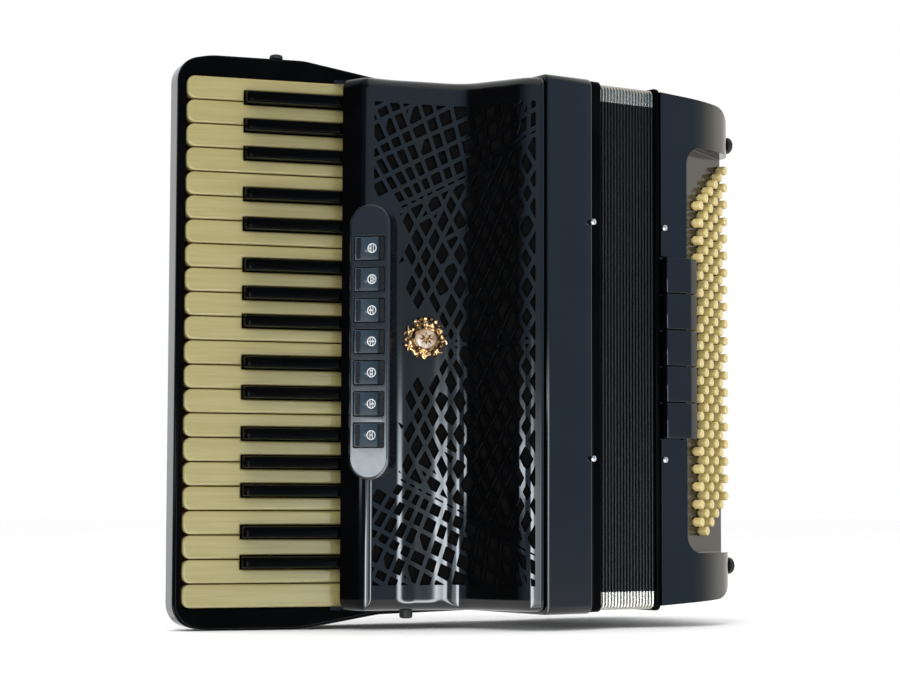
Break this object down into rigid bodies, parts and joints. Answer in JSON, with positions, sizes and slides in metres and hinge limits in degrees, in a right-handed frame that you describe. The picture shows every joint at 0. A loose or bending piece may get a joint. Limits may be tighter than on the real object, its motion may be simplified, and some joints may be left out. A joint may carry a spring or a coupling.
{
  "type": "piano accordion",
  "caption": "Piano accordion with a treble keyboard, pierced grille, register switches, closed bellows and a Stradella bass button board.",
  "frame": {"origin": "centre of the bottom of the whole box, with the keyboard standing upright", "axes": "+X from the keyboard through the bellows to the bass side, +Y from the front to the player, +Z along the keyboard towards the low notes"},
  "size_m": [0.502, 0.206, 0.465],
  "materials": {
    "black_lacquer": "piano gloss",
    "ivory": "polished celluloid",
    "ebony": "satin gloss",
    "button_cream": "polished plastic",
    "steel": "plated",
    "spruce": "raw",
    "bellows_cloth": "cloth and card",
    "board_taupe": "semi gloss",
    "switch_slate": "semi gloss",
    "smoke": "dark polished metal",
    "leather": "satin"
  },
  "bodies": {
    "treble": {"keyboard_frame": "black_lacquer", "key_axle": "steel", "grille": "black_lacquer", "register_plate": "smoke", "treble_case": "black_lacquer", "treble_soundboard": "spruce", "bellows": "bellows_cloth"},
    "bass": {"bass_case": "black_lacquer", "bass_button_board": "board_taupe", "bass_strap": "leather"},
    "bass_buttons": {"bass_buttons": "button_cream"},
    "white_key_01": {"white_key_01": "ivory"},
    "white_key_02": {"white_key_02": "ivory"},
    "white_key_03": {"white_key_03": "ivory"},
    "white_key_04": {"white_key_04": "ivory"},
    "white_key_05": {"white_key_05": "ivory"},
    "white_key_06": {"white_key_06": "ivory"},
    "white_key_07": {"white_key_07": "ivory"},
    "white_key_08": {"white_key_08": "ivory"},
    "white_key_09": {"white_key_09": "ivory"},
    "white_key_10": {"white_key_10": "ivory"},
    "white_key_11": {"white_key_11": "ivory"},
    "white_key_12": {"white_key_12": "ivory"},
    "white_key_13": {"white_key_13": "ivory"},
    "white_key_14": {"white_key_14": "ivory"},
    "white_key_15": {"white_key_15": "ivory"},
    "white_key_16": {"white_key_16": "ivory"},
    "white_key_17": {"white_key_17": "ivory"},
    "white_key_18": {"white_key_18": "ivory"},
    "white_key_19": {"white_key_19": "ivory"},
    "white_key_20": {"white_key_20": "ivory"},
    "white_key_21": {"white_key_21": "ivory"},
    "white_key_22": {"white_key_22": "ivory"},
    "black_key_01": {"black_key_01": "ebony"},
    "black_key_02": {"black_key_02": "ebony"},
    "black_key_03": {"black_key_03": "ebony"},
    "black_key_04": {"black_key_04": "ebony"},
    "black_key_05": {"black_key_05": "ebony"},
    "black_key_06": {"black_key_06": "ebony"},
    "black_key_07": {"black_key_07": "ebony"},
    "black_key_08": {"black_key_08": "ebony"},
    "black_key_09": {"black_key_09": "ebony"},
    "black_key_10": {"black_key_10": "ebony"},
    "black_key_11": {"black_key_11": "ebony"},
    "black_key_12": {"black_key_12": "ebony"},
    "black_key_13": {"black_key_13": "ebony"},
    "black_key_14": {"black_key_14": "ebony"},
    "black_key_15": {"black_key_15": "ebony"},
    "treble_register_01": {"treble_register_01": "switch_slate"},
    "treble_register_02": {"treble_register_02": "switch_slate"},
    "treble_register_03": {"treble_register_03": "switch_slate"},
    "treble_register_04": {"treble_register_04": "switch_slate"},
    "treble_register_05": {"treble_register_05": "switch_slate"},
    "treble_register_06": {"treble_register_06": "switch_slate"},
    "treble_register_07": {"treble_register_07": "switch_slate"},
    "bass_register_01": {"bass_register_01": "black_lacquer"},
    "bass_register_02": {"bass_register_02": "black_lacquer"},
    "bass_register_03": {"bass_register_03": "black_lacquer"},
    "bass_register_04": {"bass_register_04": "black_lacquer"},
    "bass_register_05": {"bass_register_05": "black_lacquer"}
  },
  "joints": [
    {"name": "bellows_slide", "type": "slide", "parent": "treble", "child": "bass", "axis": [1, 0, 0], "range_m": [0, 0.36], "deforming": ["bellows"]},
    {"name": "white_key_01_hinge", "type": "hinge", "parent": "treble", "child": "white_key_01", "pos_m": [-0.02387, 0.00571, 0.2325], "axis": [0, 0, -1], "range_deg": [0, 1.6], "stiffness_Nm_per_rad": 1, "springref_deg": -8.59},
    {"name": "white_key_02_hinge", "type": "hinge", "parent": "treble", "child": "white_key_02", "pos_m": [-0.02387, 0.00571, 0.2325], "axis": [0, 0, -1], "range_deg": [0, 1.6], "stiffness_Nm_per_rad": 1, "springref_deg": -8.59},
    {"name": "white_key_03_hinge", "type": "hinge", "parent": "treble", "child": "white_key_03", "pos_m": [-0.02387, 0.00571, 0.2325], "axis": [0, 0, -1], "range_deg": [0, 1.6], "stiffness_Nm_per_rad": 1, "springref_deg": -8.59},
    {"name": "white_key_04_hinge", "type": "hinge", "parent": "treble", "child": "white_key_04", "pos_m": [-0.02387, 0.00571, 0.2325], "axis": [0, 0, -1], "range_deg": [0, 1.6], "stiffness_Nm_per_rad": 1, "springref_deg": -8.59},
    {"name": "white_key_05_hinge", "type": "hinge", "parent": "treble", "child": "white_key_05", "pos_m": [-0.02387, 0.00571, 0.2325], "axis": [0, 0, -1], "range_deg": [0, 1.6], "stiffness_Nm_per_rad": 1, "springref_deg": -8.59},
    {"name": "white_key_06_hinge", "type": "hinge", "parent": "treble", "child": "white_key_06", "pos_m": [-0.02387, 0.00571, 0.2325], "axis": [0, 0, -1], "range_deg": [0, 1.6], "stiffness_Nm_per_rad": 1, "springref_deg": -8.59},
    {"name": "white_key_07_hinge", "type": "hinge", "parent": "treble", "child": "white_key_07", "pos_m": [-0.02387, 0.00571, 0.2325], "axis": [0, 0, -1], "range_deg": [0, 1.6], "stiffness_Nm_per_rad": 1, "springref_deg": -8.59},
    {"name": "white_key_08_hinge", "type": "hinge", "parent": "treble", "child": "white_key_08", "pos_m": [-0.02387, 0.00571, 0.2325], "axis": [0, 0, -1], "range_deg": [0, 1.6], "stiffness_Nm_per_rad": 1, "springref_deg": -8.59},
    {"name": "white_key_09_hinge", "type": "hinge", "parent": "treble", "child": "white_key_09", "pos_m": [-0.02387, 0.00571, 0.2325], "axis": [0, 0, -1], "range_deg": [0, 1.6], "stiffness_Nm_per_rad": 1, "springref_deg": -8.59},
    {"name": "white_key_10_hinge", "type": "hinge", "parent": "treble", "child": "white_key_10", "pos_m": [-0.02387, 0.00571, 0.2325], "axis": [0, 0, -1], "range_deg": [0, 1.6], "stiffness_Nm_per_rad": 1, "springref_deg": -8.59},
    {"name": "white_key_11_hinge", "type": "hinge", "parent": "treble", "child": "white_key_11", "pos_m": [-0.02387, 0.00571, 0.2325], "axis": [0, 0, -1], "range_deg": [0, 1.6], "stiffness_Nm_per_rad": 1, "springref_deg": -8.59},
    {"name": "white_key_12_hinge", "type": "hinge", "parent": "treble", "child": "white_key_12", "pos_m": [-0.02387, 0.00571, 0.2325], "axis": [0, 0, -1], "range_deg": [0, 1.6], "stiffness_Nm_per_rad": 1, "springref_deg": -8.59},
    {"name": "white_key_13_hinge", "type": "hinge", "parent": "treble", "child": "white_key_13", "pos_m": [-0.02387, 0.00571, 0.2325], "axis": [0, 0, -1], "range_deg": [0, 1.6], "stiffness_Nm_per_rad": 1, "springref_deg": -8.59},
    {"name": "white_key_14_hinge", "type": "hinge", "parent": "treble", "child": "white_key_14", "pos_m": [-0.02387, 0.00571, 0.2325], "axis": [0, 0, -1], "range_deg": [0, 1.6], "stiffness_Nm_per_rad": 1, "springref_deg": -8.59},
    {"name": "white_key_15_hinge", "type": "hinge", "parent": "treble", "child": "white_key_15", "pos_m": [-0.02387, 0.00571, 0.2325], "axis": [0, 0, -1], "range_deg": [0, 1.6], "stiffness_Nm_per_rad": 1, "springref_deg": -8.59},
    {"name": "white_key_16_hinge", "type": "hinge", "parent": "treble", "child": "white_key_16", "pos_m": [-0.02387, 0.00571, 0.2325], "axis": [0, 0, -1], "range_deg": [0, 1.6], "stiffness_Nm_per_rad": 1, "springref_deg": -8.59},
    {"name": "white_key_17_hinge", "type": "hinge", "parent": "treble", "child": "white_key_17", "pos_m": [-0.02387, 0.00571, 0.2325], "axis": [0, 0, -1], "range_deg": [0, 1.6], "stiffness_Nm_per_rad": 1, "springref_deg": -8.59},
    {"name": "white_key_18_hinge", "type": "hinge", "parent": "treble", "child": "white_key_18", "pos_m": [-0.02387, 0.00571, 0.2325], "axis": [0, 0, -1], "range_deg": [0, 1.6], "stiffness_Nm_per_rad": 1, "springref_deg": -8.59},
    {"name": "white_key_19_hinge", "type": "hinge", "parent": "treble", "child": "white_key_19", "pos_m": [-0.02387, 0.00571, 0.2325], "axis": [0, 0, -1], "range_deg": [0, 1.6], "stiffness_Nm_per_rad": 1, "springref_deg": -8.59},
    {"name": "white_key_20_hinge", "type": "hinge", "parent": "treble", "child": "white_key_20", "pos_m": [-0.02387, 0.00571, 0.2325], "axis": [0, 0, -1], "range_deg": [0, 1.6], "stiffness_Nm_per_rad": 1, "springref_deg": -8.59},
    {"name": "white_key_21_hinge", "type": "hinge", "parent": "treble", "child": "white_key_21", "pos_m": [-0.02387, 0.00571, 0.2325], "axis": [0, 0, -1], "range_deg": [0, 1.6], "stiffness_Nm_per_rad": 1, "springref_deg": -8.59},
    {"name": "white_key_22_hinge", "type": "hinge", "parent": "treble", "child": "white_key_22", "pos_m": [-0.02387, 0.00571, 0.2325], "axis": [0, 0, -1], "range_deg": [0, 1.6], "stiffness_Nm_per_rad": 1, "springref_deg": -8.59},
    {"name": "black_key_01_hinge", "type": "hinge", "parent": "treble", "child": "black_key_01", "pos_m": [-0.02387, 0.00571, 0.2325], "axis": [0, 0, -1], "range_deg": [0, 1.6], "stiffness_Nm_per_rad": 1, "springref_deg": -8.59},
    {"name": "black_key_02_hinge", "type": "hinge", "parent": "treble", "child": "black_key_02", "pos_m": [-0.02387, 0.00571, 0.2325], "axis": [0, 0, -1], "range_deg": [0, 1.6], "stiffness_Nm_per_rad": 1, "springref_deg": -8.59},
    {"name": "black_key_03_hinge", "type": "hinge", "parent": "treble", "child": "black_key_03", "pos_m": [-0.02387, 0.00571, 0.2325], "axis": [0, 0, -1], "range_deg": [0, 1.6], "stiffness_Nm_per_rad": 1, "springref_deg": -8.59},
    {"name": "black_key_04_hinge", "type": "hinge", "parent": "treble", "child": "black_key_04", "pos_m": [-0.02387, 0.00571, 0.2325], "axis": [0, 0, -1], "range_deg": [0, 1.6], "stiffness_Nm_per_rad": 1, "springref_deg": -8.59},
    {"name": "black_key_05_hinge", "type": "hinge", "parent": "treble", "child": "black_key_05", "pos_m": [-0.02387, 0.00571, 0.2325], "axis": [0, 0, -1], "range_deg": [0, 1.6], "stiffness_Nm_per_rad": 1, "springref_deg": -8.59},
    {"name": "black_key_06_hinge", "type": "hinge", "parent": "treble", "child": "black_key_06", "pos_m": [-0.02387, 0.00571, 0.2325], "axis": [0, 0, -1], "range_deg": [0, 1.6], "stiffness_Nm_per_rad": 1, "springref_deg": -8.59},
    {"name": "black_key_07_hinge", "type": "hinge", "parent": "treble", "child": "black_key_07", "pos_m": [-0.02387, 0.00571, 0.2325], "axis": [0, 0, -1], "range_deg": [0, 1.6], "stiffness_Nm_per_rad": 1, "springref_deg": -8.59},
    {"name": "black_key_08_hinge", "type": "hinge", "parent": "treble", "child": "black_key_08", "pos_m": [-0.02387, 0.00571, 0.2325], "axis": [0, 0, -1], "range_deg": [0, 1.6], "stiffness_Nm_per_rad": 1, "springref_deg": -8.59},
    {"name": "black_key_09_hinge", "type": "hinge", "parent": "treble", "child": "black_key_09", "pos_m": [-0.02387, 0.00571, 0.2325], "axis": [0, 0, -1], "range_deg": [0, 1.6], "stiffness_Nm_per_rad": 1, "springref_deg": -8.59},
    {"name": "black_key_10_hinge", "type": "hinge", "parent": "treble", "child": "black_key_10", "pos_m": [-0.02387, 0.00571, 0.2325], "axis": [0, 0, -1], "range_deg": [0, 1.6], "stiffness_Nm_per_rad": 1, "springref_deg": -8.59},
    {"name": "black_key_11_hinge", "type": "hinge", "parent": "treble", "child": "black_key_11", "pos_m": [-0.02387, 0.00571, 0.2325], "axis": [0, 0, -1], "range_deg": [0, 1.6], "stiffness_Nm_per_rad": 1, "springref_deg": -8.59},
    {"name": "black_key_12_hinge", "type": "hinge", "parent": "treble", "child": "black_key_12", "pos_m": [-0.02387, 0.00571, 0.2325], "axis": [0, 0, -1], "range_deg": [0, 1.6], "stiffness_Nm_per_rad": 1, "springref_deg": -8.59},
    {"name": "black_key_13_hinge", "type": "hinge", "parent": "treble", "child": "black_key_13", "pos_m": [-0.02387, 0.00571, 0.2325], "axis": [0, 0, -1], "range_deg": [0, 1.6], "stiffness_Nm_per_rad": 1, "springref_deg": -8.59},
    {"name": "black_key_14_hinge", "type": "hinge", "parent": "treble", "child": "black_key_14", "pos_m": [-0.02387, 0.00571, 0.2325], "axis": [0, 0, -1], "range_deg": [0, 1.6], "stiffness_Nm_per_rad": 1, "springref_deg": -8.59},
    {"name": "black_key_15_hinge", "type": "hinge", "parent": "treble", "child": "black_key_15", "pos_m": [-0.02387, 0.00571, 0.2325], "axis": [0, 0, -1], "range_deg": [0, 1.6], "stiffness_Nm_per_rad": 1, "springref_deg": -8.59},
    {"name": "treble_register_01_rocker", "type": "hinge", "parent": "treble", "child": "treble_register_01", "pos_m": [-0.11364, -0.01699, 0.1569], "axis": [0, 0, -1], "range_deg": [0, 6]},
    {"name": "treble_register_02_rocker", "type": "hinge", "parent": "treble", "child": "treble_register_02", "pos_m": [-0.11364, -0.01699, 0.1821], "axis": [0, 0, -1], "range_deg": [0, 6]},
    {"name": "treble_register_03_rocker", "type": "hinge", "parent": "treble", "child": "treble_register_03", "pos_m": [-0.11364, -0.01699, 0.2073], "axis": [0, 0, -1], "range_deg": [0, 6]},
    {"name": "treble_register_04_rocker", "type": "hinge", "parent": "treble", "child": "treble_register_04", "pos_m": [-0.11364, -0.01699, 0.2325], "axis": [0, 0, -1], "range_deg": [0, 6]},
    {"name": "treble_register_05_rocker", "type": "hinge", "parent": "treble", "child": "treble_register_05", "pos_m": [-0.11364, -0.01699, 0.2577], "axis": [0, 0, -1], "range_deg": [0, 6]},
    {"name": "treble_register_06_rocker", "type": "hinge", "parent": "treble", "child": "treble_register_06", "pos_m": [-0.11364, -0.01699, 0.2829], "axis": [0, 0, -1], "range_deg": [0, 6]},
    {"name": "treble_register_07_rocker", "type": "hinge", "parent": "treble", "child": "treble_register_07", "pos_m": [-0.11364, -0.01699, 0.3081], "axis": [0, 0, -1], "range_deg": [0, 6]},
    {"name": "bass_register_01_rocker", "type": "hinge", "parent": "bass", "child": "bass_register_01", "pos_m": [0.13575, -0.098, 0.1717], "axis": [0, 0, 1], "range_deg": [0, 4]},
    {"name": "bass_register_02_rocker", "type": "hinge", "parent": "bass", "child": "bass_register_02", "pos_m": [0.13575, -0.098, 0.2021], "axis": [0, 0, 1], "range_deg": [0, 4]},
    {"name": "bass_register_03_rocker", "type": "hinge", "parent": "bass", "child": "bass_register_03", "pos_m": [0.13575, -0.098, 0.2325], "axis": [0, 0, 1], "range_deg": [0, 4]},
    {"name": "bass_register_04_rocker", "type": "hinge", "parent": "bass", "child": "bass_register_04", "pos_m": [0.13575, -0.098, 0.2629], "axis": [0, 0, 1], "range_deg": [0, 4]},
    {"name": "bass_register_05_rocker", "type": "hinge", "parent": "bass", "child": "bass_register_05", "pos_m": [0.13575, -0.098, 0.2933], "axis": [0, 0, 1], "range_deg": [0, 4]},
    {"name": "bass_buttons_press", "type": "slide", "parent": "bass", "child": "bass_buttons", "axis": [-0.5, 0.866, 0], "range_m": [0, 0.0035], "stiffness_N_per_m": 400, "springref_m": -0.004}
  ]
}
